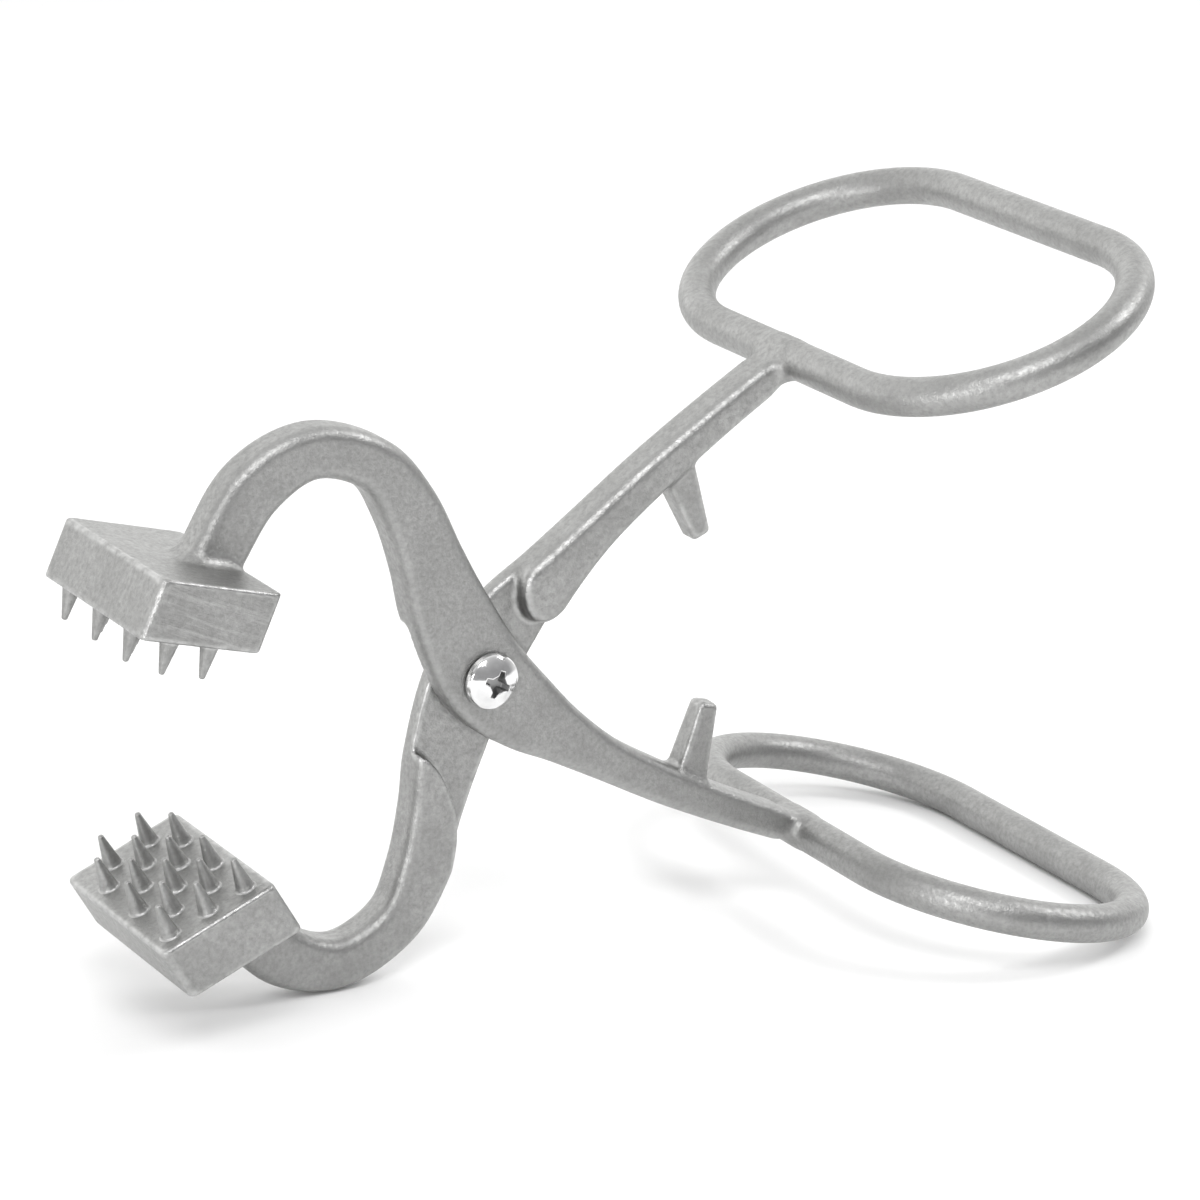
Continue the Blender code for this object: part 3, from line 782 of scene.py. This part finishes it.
middle = (front_place.to_euler().y + math.atan2(-rear_place[0][2], -rear_place[2][2])) / 2
hardware_place = Matrix.Translation(pivot) @ Matrix.Rotation(middle, 4, 'Y')
chrome = plated("bright_chrome", (0.86, 0.86, 0.86), 0.09, 0.00002)
zinc = plated("zinc_plate", (0.70, 0.71, 0.73), 0.18, 0.00003)
white = nylon("nylon_white")
hardware("screw_head", head_field, HEAD_DIA / 2, HEAD_TOP, SHANK_SPLIT,
         chrome, "pivot_screw", HEAD_STEP)
hardware("screw_thread", thread_field, SHANK_DIA / 2, 0.0, SHANK_END,
         chrome, "pivot_screw")
hardware("lock_nut", nut_field, NUT_REACH, PLATE_THICKNESS, CROWN_TOP,
         zinc, "pivot_nut")
hardware("nylon_ring", ring_field, INSERT_DIA / 2, RING_START, CROWN_TOP,
         white, "nut_insert")


# ---------------------------------------------------------------- floor, light and camera

def make_floor():
    mesh = bpy.data.meshes.new("floor")
    corners = [(x * FLOOR_HALF, y * FLOOR_HALF, 0) for x, y in ((-1, -1), (1, -1), (1, 1), (-1, 1))]
    mesh.from_pydata(corners, [], [(0, 1, 2, 3)])
    floor = bpy.data.objects.new("floor", mesh)
    bpy.context.scene.collection.objects.link(floor)
    mat, tree, shader = new_material("pale_floor")
    shader.inputs["Base Color"].default_value = (0.93, 0.93, 0.93, 1.0)
    shader.inputs["Roughness"].default_value = 0.9
    shader.inputs["Specular IOR Level"].default_value = 0.1
    mesh.materials.append(mat)


def make_light(name, place, size, power):
    data = bpy.data.lights.new(name, 'AREA')
    data.shape = 'RECTANGLE'
    data.size, data.size_y = size
    data.energy = power
    lamp = bpy.data.objects.new(name, data)
    bpy.context.scene.collection.objects.link(lamp)
    lamp.location = place
    aim = Vector(LIGHT_TARGET) - Vector(place)
    lamp.rotation_euler = aim.to_track_quat('-Z', 'Y').to_euler()


def make_world():
    """Soft room: bright behind the object, dimmer on the camera's side and overhead."""
    world = bpy.data.worlds.new("studio")
    world.use_nodes = True
    tree = world.node_tree
    direction = tree.nodes.new("ShaderNodeTexCoord").outputs["Generated"]
    split = tree.nodes.new("ShaderNodeSeparateXYZ")
    tree.links.new(direction, split.inputs["Vector"])
    behind = ranged(tree, split.outputs["Y"], -0.5, 0.6, 0.0, 1.0, True)
    height = ranged(tree, split.outputs["Z"], 0.3, 0.95, 0.0, 0.6, True)
    side = mixed(tree, behind, (0.34, 0.34, 0.345), (1.6, 1.6, 1.59))
    light = mixed(tree, height, side, (0.85, 0.85, 0.85))
    tree.links.new(light, tree.nodes["Background"].inputs["Color"])
    bpy.context.scene.world = world


def make_camera():
    """Long lens from the front left, a little above."""
    azimuth, elevation = math.radians(CAMERA_AZIMUTH), math.radians(CAMERA_ELEVATION)
    ahead = Vector((math.sin(azimuth), math.cos(azimuth), 0.0))
    right = Vector((math.cos(azimuth), -math.sin(azimuth), 0.0))
    up = ahead * math.sin(elevation) + Vector((0.0, 0.0, math.cos(elevation)))
    back = Vector((0.0, 0.0, math.sin(elevation))) - ahead * math.cos(elevation)
    roll = math.radians(CAMERA_ROLL)
    rolled_right = right * math.cos(roll) - up * math.sin(roll)
    rolled_up = right * math.sin(roll) + up * math.cos(roll)
    axes = Matrix((rolled_right, rolled_up, back)).transposed()
    where = axes @ Vector(CAMERA_PLACE) + Vector(CAMERA_POINT)
    stance = Matrix.Rotation(middle, 3, 'Y')
    data = bpy.data.cameras.new("camera")
    data.lens = CAMERA_LENS
    data.clip_start, data.clip_end = 0.05, 50.0
    camera = bpy.data.objects.new("camera", data)
    bpy.context.scene.collection.objects.link(camera)
    turned = (stance @ axes).to_4x4()
    camera.matrix_world = Matrix.Translation(pivot + stance @ where * MM) @ turned
    bpy.context.scene.camera = camera


make_floor()
make_world()
for light in LIGHTS:
    make_light(*light)
make_camera()
bpy.context.scene.view_settings.view_transform = 'Standard'
